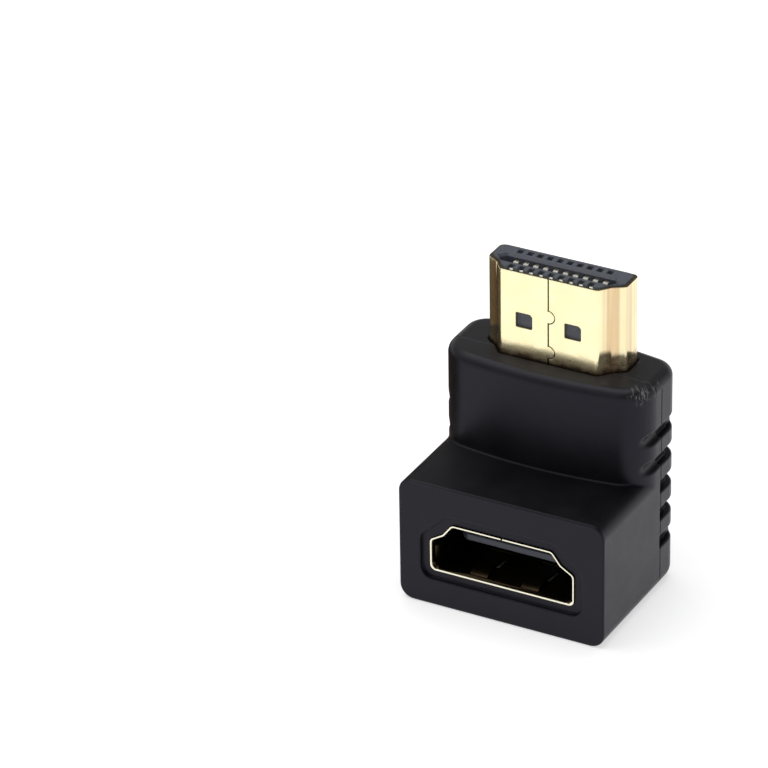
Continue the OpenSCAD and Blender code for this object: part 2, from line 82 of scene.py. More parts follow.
PROUD, SLOT_FROM_NARROW, SLOT_T, SLOT_W, SLOT_D, SLOT_BEVEL = 0.2, 2.02, 1.16, 12, 6.6, 0.25
BAR_H, BAR_T, WINDOW_L, HOLDER_H, FIT = 0.42, 0.25, 0.66, 1.5, 0.02
CONTACT_COUNT, PITCH, CONTACT_W, CONTACT_T, CONTACT_PLAY, BEAM_A = 19, 1, 0.45, 0.18, 0.05, 1
SLOT_Y = PLUG_NARROW_Y + SLOT_FROM_NARROW
MOUTH_Z = PLUG_TOP + PROUD

BOARD_FRONT_Y = 2.925
TONGUE_Y, TONGUE_Z, TONGUE_T = -5.5, 6.38, 1.1
RIM_Y, PORT_WIDE_Z, PORT_PLAY = -8, 3.95, 0.05
RECESS_W, RECESS_D, RECESS_R = 0.9, 0.38, 1.2
WALL, MOULDING_IN, MOULDING_HALF = 1.7, 3.2, 8.7

# Small roundings and lines that the solids leave out
RIB_R, GRIP_FLOOR_R, CREASE_R, FOOT_RIM_R, RECESS_RIM_R = 0.22, 0.1, 0.14, 0.14, 0.14
OVAL_SLOPE = 0.3
TAB_LINE_W, LATCH_CORNER = 0.07, 0.22
PORT_RIM_T, PORT_RIM_DEPTH = 0.13, 0.3
TONGUE_TIP_T, TONGUE_TIP_L = 0.56, 0.4
SIDE_LINE_Y, TOP_LINE_Y, LINE_DEPTH, LINE_WIDTH = PARTING_Y, 2.35, 0.05, 0.07


# Outlines, as in part.scad: x across, y from the wide face to the narrow one

def unit(v):
    return v / np.linalg.norm(v)


def outward(p, q):
    e = unit(q - p)
    return np.array([e[1], -e[0]])


def grown(points, d):
    """A closed outline moved outwards by d, with square corners."""
    moved = []
    for i, p in enumerate(points):
        a = outward(points[i - 1], p)
        b = outward(p, points[(i + 1) % len(points)])
        moved.append(p + (a + b) * d / (1 + a @ b))
    return moved


def rounded(points, r, steps):
    """A closed outline with each corner turned into an arc."""
    found = []
    for i, p in enumerate(points):
        a = unit(points[i - 1] - p)
        b = unit(points[(i + 1) % len(points)] - p)
        half = math.acos(a @ b) / 2
        middle = p + unit(a + b) * r / math.sin(half)
        start = p + a * r / math.tan(half) - middle
        turn = (math.pi - 2 * half) * np.sign(a[1] * b[0] - a[0] * b[1])
        for k in range(steps + 1):
            t = turn * k / steps
            c, s = math.cos(t), math.sin(t)
            found.append(middle + [start[0] * c - start[1] * s, start[0] * s + start[1] * c])
    return found


LEDGE_HALF = PLUG_W / 2 - LEDGE_IN
NARROW_HALF = LEDGE_HALF - SLOPE_IN
SIDE = [(PLUG_W / 2, 0), (PLUG_W / 2, SIDE_LEN)]
LEDGE = [(LEDGE_HALF, SIDE_LEN + LEDGE_RISE)]
NARROW = [(NARROW_HALF, PLUG_H)]


def both_sides(right):
    left = [(-x, y) for x, y in reversed(right)]
    return [np.array(p, float) for p in [*right, *left]]


def shell_outline(grow, steps=8):
    return rounded(grown(both_sides(SIDE + LEDGE + NARROW), grow), SHELL_CORNER_R, steps)


def recess_outline():
    return rounded(grown(both_sides(SIDE + NARROW), PORT_PLAY + SHEET_T + RECESS_W), RECESS_R, 8)


# Distance fields: negative inside, in millimetres

def round_max(a, b, r):
    """Where both hold, with the edge between them rounded to radius r."""
    return np.minimum(-r, np.maximum(a, b)) + np.hypot(np.maximum(a + r, 0), np.maximum(b + r, 0))


def cut(a, b, r):
    """a without b, with the rim rounded to radius r."""
    return round_max(a, -b, r)


def largest(*fields):
    result = fields[0]
    for f in fields[1:]:
        result = np.maximum(result, f)
    return result


def outline_distance(points, x, y):
    """Distance to a closed outline."""
    nearest = np.full(x.shape, 1e9)
    inside = np.zeros(x.shape, bool)
    for i, q in enumerate(points):
        p = points[i - 1]
        if np.allclose(p, q):
            continue
        dx, dy = q - p
        t = np.clip(((x - p[0]) * dx + (y - p[1]) * dy) / (dx * dx + dy * dy), 0, 1)
        nearest = np.minimum(nearest, (x - p[0] - t * dx) ** 2 + (y - p[1] - t * dy) ** 2)
        spans = (p[1] > y) != (q[1] > y)
        if dy:
            inside ^= spans & (x < dx * (y - p[1]) / dy + p[0])
    return np.where(inside, -1, 1) * np.sqrt(nearest)


class OutlineField:
    """Distance to a closed outline, read off a fine grid. Far outside it stays level."""

    STEP, MARGIN = 0.03, 1

    def __init__(self, points):
        self.low = np.min(points, axis=0) - self.MARGIN
        counts = np.ceil((np.max(points, axis=0) + self.MARGIN - self.low) / self.STEP).astype(int)
        x, y = [self.low[n] + self.STEP * np.arange(counts[n]) for n in range(2)]
        self.table = outline_distance(points, *np.meshgrid(x, y, indexing="ij"))

    def __call__(self, x, y):
        u = np.clip((x - self.low[0]) / self.STEP, 0, self.table.shape[0] - 1.001)
        v = np.clip((y - self.low[1]) / self.STEP, 0, self.table.shape[1] - 1.001)
        i, j = u.astype(int), v.astype(int)
        s, t = u - i, v - j
        near = self.table[i, j] * (1 - s) + self.table[i + 1, j] * s
        far = self.table[i, j + 1] * (1 - s) + self.table[i + 1, j + 1] * s
        return near * (1 - t) + far * t


def bowed_half(r):
    """Half of a bowed face and its corner: distance across, then distance from the slab's middle."""
    half = BODY_W / 2 - r
    swing = math.asin(half / (BOW_R - r))
    middle = SLAB_T / 2 - BOW_R
    low = middle + (BOW_R - r) * math.cos(swing)
    face = [(BOW_R * math.sin(t), middle + BOW_R * math.cos(t)) for t in np.linspace(0, swing, 24)]
    corner = [(half + r * math.sin(t), low + r * math.cos(t)) for t in np.linspace(swing, math.pi / 2, 16)]
    return face + corner[1:]


def slab_outline():
    front = [(x, SLAB_Y - y) for x, y in bowed_half(SLAB_FRONT_R)]
    back = [(x, SLAB_Y + y) for x, y in bowed_half(SLAB_BACK_R)]
    right = front + back[::-1]
    left = [(-x, y) for x, y in right[-2:0:-1]]
    return [np.array(p, float) for p in right + left]


slab_field = OutlineField(slab_outline())


def grip_field(k, x, y, z, skin):
    """One slot on both sides."""
    middle = GRIP_LOW + (GRIP_COUNT - 1) / 2 * GRIP_PITCH
    height = GRIP_LOW + k * GRIP_PITCH
    reach = GRIP_REACH - (height - middle) ** 2 / (2 * GRIP_BOW_R)
    ends = np.maximum(BODY_W / 2 - reach - np.abs(x), PARTING_Y - y)
    profile = round_max(-(skin + GRIP_DEPTH), np.abs(z - height) - GRIP_H / 2, GRIP_FLOOR_R)
    slot = round_max(profile, ends, GRIP_FLOOR_R)
    if height - GRIP_H / 2 > BLOCK_H:
        half = GRIP_H / 2
        groove = (np.hypot((np.abs(x) - BODY_W / 2) / GRIP_DEPTH, (z - height) / half) - 1) * half
        slot = np.minimum(slot, np.maximum(groove, y - PARTING_Y - GRIP_FLOOR_R))
    return slot


def soft_step(t):
    t = np.clip(t, 0, 1)
    return t * t * (3 - 2 * t)


def line(t):
    """A thin line where t is 0."""
    return LINE_DEPTH * np.exp(-((t / LINE_WIDTH) ** 2))


def cavity_field(x, y, z):
    """The room of the inner moulding, as in part.scad."""
    sides = np.abs(x) - MOULDING_HALF
    back = y - (BACK_Y - WALL)
    lower = largest(sides, back, FACE_Y + MOULDING_IN - y, WALL - z, z - (BLOCK_H - WALL))
    upper = largest(sides, back, SLAB_FRONT_Y + WALL - y, BLOCK_H - WALL - 1 - z, z - (SLAB_H - WALL))
    return np.minimum(lower, upper)


in_plug_outline = OutlineField(shell_outline(0))
in_foot_outline = OutlineField(shell_outline(FOOT_GAP))
in_port_outline = OutlineField(shell_outline(PORT_PLAY + SHEET_T))
in_recess_outline = OutlineField(recess_outline())


def body_field(x, y, z):
    skin = slab_field(x, y)
    slab = round_max(round_max(skin, z - SLAB_H, TOP_R), -z, LONG_R)
    walls = round_max(np.abs(x) - BODY_W / 2, np.abs(z - BLOCK_H / 2) - BLOCK_H / 2, LONG_R)
    block = np.maximum(round_max(walls, FACE_Y - y, FACE_R), y - SLAB_Y)
    crease = CREASE_R * (z > BLOCK_H - 1) + 0.01
    body = np.maximum(-round_max(-slab, -block, crease), np.abs(x) - BODY_W / 2)

    k = np.hypot(x / (OVAL_W / 2), (z - OVAL_Z) / (OVAL_H / 2))
    slope = np.hypot(x / (OVAL_W / 2) ** 2, (z - OVAL_Z) / (OVAL_H / 2) ** 2) + 1e-6
    oval = (k - 1) * k / slope
    body = body + OVAL_DEPTH * soft_step(-oval / OVAL_SLOPE) * (y > SLAB_Y)
    side_line = line(y - SIDE_LINE_Y) * (np.abs(x) > BODY_W / 2 - 1.5) * (z < SLAB_H - TOP_R)
    top_line = line(y - TOP_LINE_Y) * (z > SLAB_H - TOP_R)
    body = body + np.maximum(side_line, top_line)

    for k in range(GRIP_COUNT):
        body = cut(body, grip_field(k, x, y, z, skin), RIB_R)

    foot = np.maximum(in_foot_outline(x, PLUG_WIDE_Y - y), SLAB_H - FOOT_DEPTH - z)
    body = cut(body, foot, FOOT_RIM_R)
    body = np.maximum(body, -np.maximum(in_plug_outline(x, PLUG_WIDE_Y - y), PLUG_ROOT - z))

    recess = np.maximum(in_recess_outline(x, z - PORT_WIDE_Z), y - (FACE_Y + RECESS_D))
    body = cut(body, recess, RECESS_RIM_R)
    body = np.maximum(body, -np.maximum(in_port_outline(x, z - PORT_WIDE_Z), y - BOARD_FRONT_Y))
    return np.maximum(body, -cavity_field(x, y, z))


def grid_lines(*stretches):
    """Grid lines along one axis: each stretch is (start, end, step)."""
    coarse = 1
    lines = []
    for start, end, step in stretches:
        count = max(1, round((end - start) / step / coarse))
        lines.extend(start + (end - start) * i / count for i in range(count))
    lines.append(stretches[-1][1])
    return np.array(lines) + 0.0031


def surface_net(field, xs, ys, zs):
    """Points and quads of the surface where the field is zero."""
    f = field(xs[:, None, None], ys[None, :, None], zs[None, None, :])
    inside = f < 0
    axes = (xs, ys, zs)
    cells = tuple(n - 1 for n in f.shape)
    total = np.zeros((3, cells[0] * cells[1] * cells[2]))
    count = np.zeros(total.shape[1])
    quads = []
    for axis in range(3):
        low = tuple(slice(0, -1) if a == axis else slice(None) for a in range(3))
        high = tuple(slice(1, None) if a == axis else slice(None) for a in range(3))
        at = np.argwhere(inside[low] != inside[high])
        step = np.eye(3, dtype=int)
        a = f[tuple(at.T)]
        b = f[tuple((at + step[axis]).T)]
        point = np.stack([axes[n][at[:, n]] for n in range(3)])
        point[axis] += a / (a - b) * (axes[axis][at[:, axis] + 1] - axes[axis][at[:, axis]])
        u, v = step[(axis + 1) % 3], step[(axis + 2) % 3]
        corners = np.stack([at - u - v, at - v, at, at - u])
        ids = np.ravel_multi_index(tuple(np.moveaxis(corners, 2, 0)), cells, mode="clip")
        for row in ids:
            count += np.bincount(row, minlength=len(count))
            for n in range(3):
                total[n] += np.bincount(row, weights=point[n], minlength=len(count))
        grows = inside[tuple(at.T)]
        quads.append(np.where(grows, ids, ids[::-1]).T)
    used = np.nonzero(count)[0]
    number = np.zeros(len(count), int)
    number[used] = np.arange(len(used))
    return (total[:, used] / count[used]).T, number[np.concatenate(quads)]


def gradient(field, points, h=0.004):
    moved = [field(*(points + np.eye(3)[n] * h).T) - field(*(points - np.eye(3)[n] * h).T) for n in range(3)]
    return np.stack(moved, 1) / (2 * h)


def settle(field, points, reach=0.05):
    """Moves points onto the surface of a field, no further than reach."""
    slope = gradient(field, points)
    square = np.maximum((slope ** 2).sum(1), 0.25)
    move = -(field(*points.T) / square)[:, None] * slope
    length = np.linalg.norm(move, axis=1)
    return points + move * np.minimum(1, reach / np.maximum(length, 1e-9))[:, None]


def mesh_object(name, points, faces):
    """A new object from points in millimetres."""
    mesh = bpy.data.meshes.new(name)
    mesh.from_pydata([tuple(p) for p in np.asarray(points, float) * MM], [], [tuple(f) for f in faces])
    mesh.update()
    obj = bpy.data.objects.new(name, mesh)
    bpy.context.scene.collection.objects.link(obj)
    return obj


def edit(obj, change):
    """Runs change(bmesh) on an object's mesh."""
    bm = bmesh.new()
    bm.from_mesh(obj.data)
    change(bm)
    bm.to_mesh(obj.data)
    bm.free()
    obj.data.update()


def merge_flat(angle):
    def change(bm):
        bmesh.ops.remove_doubles(bm, verts=bm.verts, dist=1e-7)
        bmesh.ops.dissolve_limit(bm, angle_limit=math.radians(angle), verts=bm.verts, edges=bm.edges)
    return change


def corner_normals(obj, field, sharp=28):
    """Smooth normals from the field's slope, and the face's own normal at a sharp edge."""
    mesh = obj.data
    points = np.empty(len(mesh.vertices) * 3)
    mesh.vertices.foreach_get("co", points)
    normals = gradient(field, points.reshape(-1, 3) / MM)
    normals /= np.maximum(np.linalg.norm(normals, axis=1), 1e-9)[:, None]
    faces = np.empty(len(mesh.polygons) * 3)
    mesh.polygons.foreach_get("normal", faces)
    sizes = np.empty(len(mesh.polygons), int)
    mesh.polygons.foreach_get("loop_total", sizes)
    corners = np.empty(len(mesh.loops), int)
    mesh.loops.foreach_get("vertex_index", corners)
    flat = np.repeat(faces.reshape(-1, 3), sizes, axis=0)
    smooth = normals[corners]
    close = (flat * smooth).sum(1) > math.cos(math.radians(sharp))
    mesh.shade_smooth()
    mesh.normals_split_custom_set(np.where(close[:, None], smooth, flat).tolist())


def make_body():
    edge = BODY_W / 2
    side = [(-edge - 0.3, -7, 0.12), (-7, 7, 0.18), (7, edge + 0.3, 0.12)]
    depth = [
        (FACE_Y - 0.2, FACE_Y + 0.7, 0.07), (FACE_Y + 0.7, -1.5, 0.3), (-1.5, 1.9, 0.12), (1.9, 2.15, 0.1),
        (2.15, 2.55, 0.05), (2.55, 3.3, 0.12), (3.3, 3.8, 0.05), (3.8, BACK_Y + 0.2, 0.13)
    ]
    height = [
        (-0.2, 1.6, 0.13), (1.6, 2.2, 0.2), (2.2, 12.4, 0.115), (12.4, 13, 0.06), (13, SLAB_H - 1.4, 0.115),
        (SLAB_H - 1.4, SLAB_H + 0.2, 0.1)
    ]
    points, quads = surface_net(body_field, grid_lines(*side), grid_lines(*depth), grid_lines(*height))
    obj = mesh_object("overmould_skin", settle(body_field, settle(body_field, points)), quads)
    edit(obj, merge_flat(0.04))
    corner_normals(obj, body_field)
    return obj


# Materials

class Nodes:
    """A short way to build a node tree."""

    def __init__(self, tree):
        self.tree = tree
        tree.nodes.clear()

    def add(self, kind, inputs=None, **settings):
        node = self.tree.nodes.new(kind)
        for key, value in settings.items():
            setattr(node, key, value)
        for key, value in (inputs or {}).items():
            if isinstance(value, bpy.types.NodeSocket):
                self.tree.links.new(value, node.inputs[key])
            else:
                node.inputs[key].default_value = value
        return node

    def math(self, operation, a, b=0.0, c=0.0):
        return self.add("ShaderNodeMath", {0: a, 1: b, 2: c}, operation=operation).outputs[0]

    def position(self):
        """The place on the object in millimetres."""
        place = self.add("ShaderNodeTexCoord").outputs["Object"]
        return self.add("ShaderNodeVectorMath", {0: place, 3: 1 / MM}, operation="SCALE").outputs[0]

    def axis(self, place, name):
        return self.add("ShaderNodeSeparateXYZ", {0: place}).outputs[name]

    def noise(self, place, scale, detail=3.0, roughness=0.55):
        inputs = {"Vector": place, "Scale": scale, "Detail": detail, "Roughness": roughness}
        return self.add("ShaderNodeTexNoise", inputs).outputs["Fac"]

    def ramp(self, value, low, high, a, b):
        """Maps value from low..high to a..b."""
        inputs = {"Value": value, "From Min": low, "From Max": high, "To Min": a, "To Max": b}
        return self.add("ShaderNodeMapRange", inputs).outputs[0]

    def near(self, place, middle, inner, outer):
        """1 within the inner distance of a place and 0 beyond the outer one."""
        gap = self.add("ShaderNodeVectorMath", {0: place, 1: middle}, operation="DISTANCE").outputs["Value"]
        return self.ramp(gap, inner, outer, 1, 0)

    def mix(self, share, a, b):
        inputs = {"Factor": share, "A": a, "B": b}
        node = self.add("ShaderNodeMix", data_type="RGBA")
        for key, value in inputs.items():
            socket = next(s for s in node.inputs if s.name == key and s.type in ("RGBA", "VALUE") and s.enabled)
            if isinstance(value, bpy.types.NodeSocket):
                self.tree.links.new(value, socket)
            else:
                socket.default_value = value
        return next(s for s in node.outputs if s.type == "RGBA")

    def bump(self, height, distance, strength=1.0):
        """A bump from heights of 0 to 1, where distance is in millimetres."""
        inputs = {"Height": height, "Distance": distance * MM, "Strength": strength}
        return self.add("ShaderNodeBump", inputs).outputs[0]

    def stretched(self, place, x, y, z):
        return self.add("ShaderNodeVectorMath", {0: place, 1: (x, y, z)}, operation="MULTIPLY").outputs[0]

    def turned(self, place, axis, angle):
        inputs = {"Vector": place, "Axis": axis, "Angle": math.radians(angle)}
        return self.add("ShaderNodeVectorRotate", inputs).outputs[0]

    def surface(self, **inputs):
        shader = self.add("ShaderNodeBsdfPrincipled", {k.replace("_", " "): v for k, v in inputs.items()})
        self.add("ShaderNodeOutputMaterial", {"Surface": shader.outputs[0]})


def material(name, shown):
    m = bpy.data.materials.new(name)
    m.use_nodes = True
    m.diffuse_color = (*shown, 1)
    return m, Nodes(m.node_tree)


def body_material():
    """Satin black soft plastic, with pale scuffs on the slab's front right corner as in the photo."""
    m, n = material("satin_black_plastic", (0.012, 0.012, 0.014))
    place = n.position()
    broad = n.noise(place, 0.35, 2)
    grain = n.noise(place, 9, 2, 0.6)
    colour = n.mix(n.ramp(broad, 0.3, 0.7, 0, 1), (0.0045, 0.0045, 0.0056, 1), (0.0075, 0.0073, 0.009, 1))
    across, height = n.axis(place, "X"), n.axis(place, "Z")
    # Painted light: the slab's top and the left part of the block's top are made lighter in colour, as where they
    # catch more light.
    slab_top = n.ramp(height, SLAB_H - 0.6, SLAB_H - 0.1, 0, 1)
    block_top = n.ramp(n.math("ABSOLUTE", n.math("SUBTRACT", height, BLOCK_H)), 0.1, 0.4, 1, 0)
    painted_top_light = n.math("MAXIMUM", slab_top, n.math("MULTIPLY", block_top, n.ramp(across, -10, -2, 0.8, 0)))
    colour = n.mix(painted_top_light, colour, (0.026, 0.026, 0.027, 1))
    rough = n.math("ADD", n.ramp(broad, 0.3, 0.7, 0.34, 0.4), n.ramp(grain, 0.3, 0.7, -0.03, 0.03))
    strokes = n.noise(n.stretched(n.turned(place, (0, 0, 1), 40), 0.8, 5, 2), 1, 3)
    corner = n.math("MULTIPLY", n.near(place, (9.7, 0.6, 21.8), 0.4, 1.4), n.ramp(strokes, 0.52, 0.6, 0, 1))
    side = n.math("MULTIPLY", n.near(place, (10.3, 2.6, 21.7), 0.3, 1.2), n.ramp(strokes, 0.56, 0.62, 0, 0.7))
    scuff = n.math("MAXIMUM", corner, side)
    colour = n.mix(scuff, colour, (0.16, 0.16, 0.165, 1))
    rough = n.math("ADD", rough, n.math("MULTIPLY", scuff, 0.2))
    relief = n.math("SUBTRACT", grain, n.math("MULTIPLY", scuff, 2))
    n.surface(
        Base_Color=colour, Roughness=rough, Specular_IOR_Level=0.27, Specular_Tint=(0.82, 0.78, 1, 1),
        Normal=n.bump(relief, 0.006)
    )
    return m


def gold_colour(n, place):
    return n.mix(n.ramp(n.noise(place, 0.5, 2), 0.35, 0.65, 0, 1), (0.965, 0.9, 0.58, 1), (0.94, 0.865, 0.53, 1))


def plug_gold_material():
    """Gold plate with upright tan bands of painted reflection beside the narrow face, and a rougher foot with painted
    shade and reflection that make it browner and darker towards the bottom.
    """
    m, n = material("plug_gold_plate", (0.95, 0.86, 0.52))
    place = n.position()
    # Painted reflection and shade: upright tan bands beside the narrow face stand in for the darker reflections and
    # the shade in the sheet's folds.
    bands = n.noise(n.stretched(place, 1.5, 1.5, 0.02), 1, 1)
    beside = n.ramp(n.math("ABSOLUTE", n.axis(place, "X")), NARROW_HALF + 0.1, NARROW_HALF + 0.5, 0, 1)
    tan = n.math("MULTIPLY", beside, n.ramp(bands, 0.4, 0.6, 0.15, 0.75))
    colour = n.mix(tan, gold_colour(n, place), (0.66, 0.43, 0.24, 1))
    cloud = n.noise(place, 0.9, 3)
    level = n.math("ADD", n.axis(place, "Z"), n.ramp(cloud, 0.3, 0.7, -0.3, 0.3))
    # Painted reflection and shade: the foot is turned browner, and darkest just above the slab where the gold meets
    # the black plastic; the foot ramp also makes it rougher.
    foot = n.ramp(level, SLAB_H, SLAB_H + 1.7, 1, 0)
    colour = n.mix(n.math("MULTIPLY", foot, 0.7), colour, (0.5, 0.34, 0.2, 1))
    colour = n.mix(n.ramp(level, SLAB_H, SLAB_H + 0.5, 0.85, 0), colour, (0.1, 0.06, 0.04, 1))
    lines = n.noise(n.stretched(place, 0.6, 0.6, 3), 1, 2, 0.6)
    rough = n.math("ADD", n.ramp(lines, 0.3, 0.7, 0.12, 0.18), n.math("MULTIPLY", foot, 0.26))
    n.surface(Base_Color=colour, Metallic=1.0, Roughness=rough)
    return m


def contact_material():
    """Gold plate on the contacts, painted near white and barely metallic as a painted glint, which catches the light
    at their crests.
    """
    m, n = material("contact_gold_painted_glint", (0.95, 0.86, 0.6))
    place = n.position()
    cloud = n.noise(place, 2, 3)
    # Painted glint: a near-white colour with little metal stands in for the bright glints on the contacts.
    colour = n.mix(cloud, (1, 0.98, 0.9, 1), (0.97, 0.92, 0.76, 1))
    n.surface(Base_Color=colour, Metallic=0.1, Roughness=n.ramp(cloud, 0.3, 0.7, 0.28, 0.4))
    return m


def port_gold_material():
    """Gold plate that is pale at the rim, with painted shade that makes it dark brown and rougher further in."""
    m, n = material("port_gold_plate", (0.95, 0.86, 0.52))
    place = n.position()
    cloud = n.noise(place, 1.5, 3)
    depth = n.math("ADD", n.axis(place, "Y"), n.ramp(cloud, 0.3, 0.7, -0.01, 0.01))
    # Painted shade: the gold turns dark brown just past the rim, standing in for the shade inside the port; the same
    # ramp makes it rougher.
    painted_shade_and_roughness = n.ramp(depth, RIM_Y + 0.02, RIM_Y + 0.06, 0, 1)
    colour = n.mix(painted_shade_and_roughness, (0.92, 0.88, 0.7, 1), (0.045, 0.032, 0.018, 1))
    roughness = n.math("ADD", n.ramp(cloud, 0.3, 0.7, 0.16, 0.24), n.math("MULTIPLY", painted_shade_and_roughness, 0.14))
    n.surface(Base_Color=colour, Metallic=1.0, Roughness=roughness)
    return m


def insulator_material():
    m, n = material("insulator_plastic", (0.05, 0.055, 0.07))
    place = n.position()
    grain = n.noise(place, 6, 3)
    colour = n.mix(n.ramp(grain, 0.3, 0.7, 0, 1), (0.075, 0.082, 0.105, 1), (0.11, 0.118, 0.145, 1))
    n.surface(Base_Color=colour, Roughness=n.ramp(grain, 0.3, 0.7, 0.4, 0.52), Normal=n.bump(grain, 0.006))
    return m


def moulding_material():
    m, n = material("inner_plastic", (0.7, 0.68, 0.62))
    place = n.position()
    cloud = n.noise(place, 0.6, 3)
    colour = n.mix(cloud, (0.62, 0.6, 0.54, 1), (0.74, 0.72, 0.66, 1))
    n.surface(Base_Color=colour, Roughness=n.ramp(cloud, 0, 1, 0.45, 0.6), Subsurface_Weight=0.1)
    return m


def board_material():
    m, n = material("board_laminate", (0.02, 0.16, 0.07))
    place = n.position()
    weave = n.noise(n.stretched(place, 5, 1, 5), 1, 3)
    colour = n.mix(weave, (0.012, 0.12, 0.05, 1), (0.03, 0.2, 0.09, 1))
    n.surface(Base_Color=colour, Roughness=n.ramp(weave, 0, 1, 0.3, 0.45), Normal=n.bump(weave, 0.01))
    return m


def solder_material():
    m, n = material("solder", (0.6, 0.61, 0.63))
    place = n.position()
    cloud = n.noise(place, 3, 3)
    colour = n.mix(cloud, (0.52, 0.53, 0.55, 1), (0.68, 0.69, 0.71, 1))
    n.surface(Base_Color=colour, Metallic=1.0, Roughness=n.ramp(cloud, 0, 1, 0.25, 0.4), Normal=n.bump(cloud, 0.01))
    return m


def dress(obj, finish):
    obj.data.materials.clear()
    obj.data.materials.append(finish)


def place_piece(obj, finish, slot_name, *nodes):
    dress(obj, finish)
    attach(obj, "root")
    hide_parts(*nodes)


# Gold shells and small parts

def prism(name, outline, z0, z1, place):
    """A closed outline stretched from z0 to z1, with place turning (x, y, z) into the object's."""
    count = len(outline)
    points = [place(p[0], p[1], z) for z in (z0, z1) for p in outline]
    faces = [[i, (i + 1) % count, (i + 1) % count + count, i + count] for i in range(count)]
    faces += [list(range(count))[::-1], list(range(count, 2 * count))]
    obj = mesh_object(name, points, faces)
    edit(obj, lambda bm: bmesh.ops.recalc_face_normals(bm, faces=bm.faces))
    return obj


def subtract(obj, cutters):
    for cutter in cutters:
        modifier = obj.modifiers.new("cut", "BOOLEAN")
        modifier.object = cutter
        modifier.operation = "DIFFERENCE"
        modifier.solver = "EXACT"
    graph = bpy.context.evaluated_depsgraph_get()
    mesh = bpy.data.meshes.new_from_object(obj.evaluated_get(graph))
    obj.modifiers.clear()
    obj.data = mesh
    for cutter in cutters:
        bpy.data.objects.remove(cutter)


def soften(obj, width, segments=2, angle=32):
    """Small rounded edges, with the big faces kept flat in shading."""
    bevel = obj.modifiers.new("edges", "BEVEL")
    bevel.width = width * MM
    bevel.segments = segments
    bevel.limit_method = "ANGLE"
    bevel.angle_limit = math.radians(angle)
    bevel.miter_outer = "MITER_ARC"
    obj.data.shade_smooth()
    weighted = obj.modifiers.new("normals", "WEIGHTED_NORMAL")
    weighted.keep_sharp = False
    weighted.weight = 50


def on_narrow_face(x, y, z):
    """From a drawing of the narrow face (x, height) and a depth to the object."""
    return (x, z, y)


def strip(path):
    """A strip along an open path of (x, y, width)."""
    places = [np.array(p[:2], float) for p in path]
    sides = ([], [])
    for i, p in enumerate(places):
        a = outward(places[max(i - 1, 0)], places[max(i, 1)])
        b = outward(places[min(i, len(places) - 2)], places[min(i + 1, len(places) - 1)])
        offset = (a + b) * path[i][2] / 2 / (1 + a @ b)
        sides[0].append(p + offset)
        sides[1].append(p - offset)
    return sides[0] + sides[1][::-1]


def seam_path():
    path = [(0, PLUG_ROOT - 1, SEAM_W)]
    for k in range(2):
        middle = SLAB_H + TAB_LOW + k * TAB_PITCH
        for step in range(17):
            t = math.pi * (step / 16 - 0.5)
            width = SEAM_W if step in (0, 16) else TAB_LINE_W
            path.append((TAB_R * math.cos(t), middle + TAB_R * math.sin(t), width))
    path.append((0, PLUG_TOP + 1, SEAM_W))
    return path


def latch_outline(side):
    """A latch hole's outline: a square with one corner more rounded than the others."""
    x0, x1 = side * LATCH_X - LATCH_W / 2, side * LATCH_X + LATCH_W / 2
    z0, z1 = PLUG_TOP - LATCH_DOWN - LATCH_H / 2, PLUG_TOP - LATCH_DOWN + LATCH_H / 2
    corner = LATCH_CORNER
    corners = [(x0, z0), (x1, z0), (x1, z1 - corner), (x1 - corner, z1), (x0, z1)]
    return rounded([np.array(p, float) for p in corners], 0.16, 5)


def make_plug_shell():
    def place(x, y, z):
        return (x, PLUG_WIDE_Y - y, z)

    outer, inner = shell_outline(0), shell_outline(-SHEET_T)
    shell = prism("plug_shell_skin", outer, PLUG_ROOT, PLUG_TOP, place)
    bore = prism("bore", inner, PLUG_ROOT - 1, PLUG_TOP + 1, place)
    y0, y1 = PLUG_NARROW_Y - SHEET_T, PLUG_NARROW_Y + 2 * SHEET_T
    seam = prism("seam", strip(seam_path()), y0, y1, on_narrow_face)
    latches = [prism("latch", latch_outline(side), y0, y1, on_narrow_face) for side in (-1, 1)]
    subtract(shell, [bore, seam, *latches])
    soften(shell, 0.05, 3)
    return shell


def node_copy(node, name):
    """A CAD node's shape as a new object, with its flat faces merged."""
    obj = bpy.data.objects.new(name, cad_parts[node].data.copy())
    bpy.context.scene.collection.objects.link(obj)
    if "custom_normal" in obj.data.attributes:
        obj.data.attributes.remove(obj.data.attributes["custom_normal"])
    edit(obj, merge_flat(0.1))
    return obj


def split_at(bm, y):
    geometry = [*bm.verts, *bm.edges, *bm.faces]
    bmesh.ops.bisect_plane(bm, geom=geometry, dist=1e-7, plane_co=(0, y * MM, 0), plane_no=(0, 1, 0))


def make_port_shell():
    """The port's shell with its mouth flared, which leaves a thin bright rim."""
    def flare(bm):
        split_at(bm, RIM_Y + PORT_RIM_DEPTH)
        for v in bm.verts:
            x, z = v.co.x / MM, v.co.z / MM - PORT_WIDE_Z
            depth = -in_port_outline(np.array(x), np.array(z))
            if abs(v.co.y / MM - RIM_Y) < 0.01 and depth > SHEET_T / 2:
                h = 0.01
                slope = np.array([
                    in_port_outline(np.array(x + h), np.array(z)) - in_port_outline(np.array(x - h), np.array(z)),
                    in_port_outline(np.array(x), np.array(z + h)) - in_port_outline(np.array(x), np.array(z - h))
                ])
                move = unit(slope) * (depth - PORT_RIM_T) * MM
                v.co.x += move[0]
                v.co.z += move[1]

    shell = node_copy("port_shell", "port_shell_skin")
    edit(shell, flare)
    soften(shell, 0.03)
    return shell


